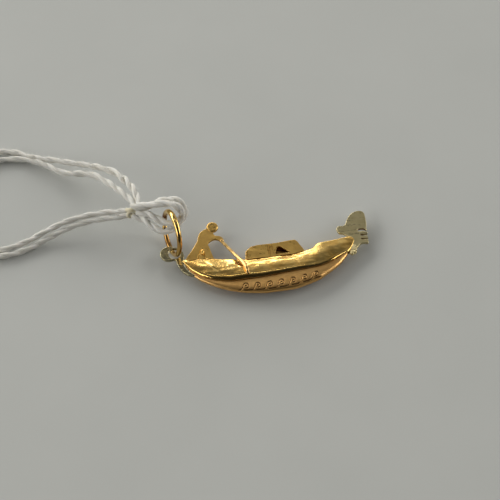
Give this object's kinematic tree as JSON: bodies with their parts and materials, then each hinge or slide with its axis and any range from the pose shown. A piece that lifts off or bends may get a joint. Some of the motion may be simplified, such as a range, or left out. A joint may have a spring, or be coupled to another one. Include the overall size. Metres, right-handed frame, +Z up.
{
  "type": "gondola charm",
  "caption": "Two-colour gold gondola charm lying on its side: hollow hull, cabin, rower with oar, bow iron, jump ring through a stern eyelet and a doubled cotton tag string.",
  "frame": {"origin": "centre of the charm's footprint on the table, without the string", "axes": "+X to the bow, +Y from the keel to the rower's head, +Z up from the table, square to the charm's middle plane"},
  "size_m": [0.0614, 0.0315, 0.0075],
  "materials": {
    "satin_gold": "satin",
    "polished_gold": "polished",
    "figure_gold": "satin",
    "ring_gold": "polished",
    "pale_gold": "rough",
    "white_gold": "satin",
    "cotton": "twisted"
  },
  "bodies": {
    "charm": {"hull_shell": "satin_gold", "deck_shell": "polished_gold", "bow_ferro": "white_gold", "ferro_tang": "pale_gold", "stern_eyelet": "white_gold", "gondolier_body": "figure_gold", "gondolier_head": "figure_gold", "oar": "polished_gold", "felze_cabin": "figure_gold"},
    "ring": {"jump_ring": "ring_gold", "string_knot": "cotton", "string_bight_a": "cotton", "string_bight_b": "cotton", "string_a": "cotton", "string_b": "cotton"}
  },
  "joints": [
    {"name": "ring_turn", "type": "hinge", "parent": "charm", "child": "ring", "pos_m": [-0.013, 0.0014, 0.00125], "axis": [0, 0, 1], "range_deg": [-30, 90]}
  ]
}
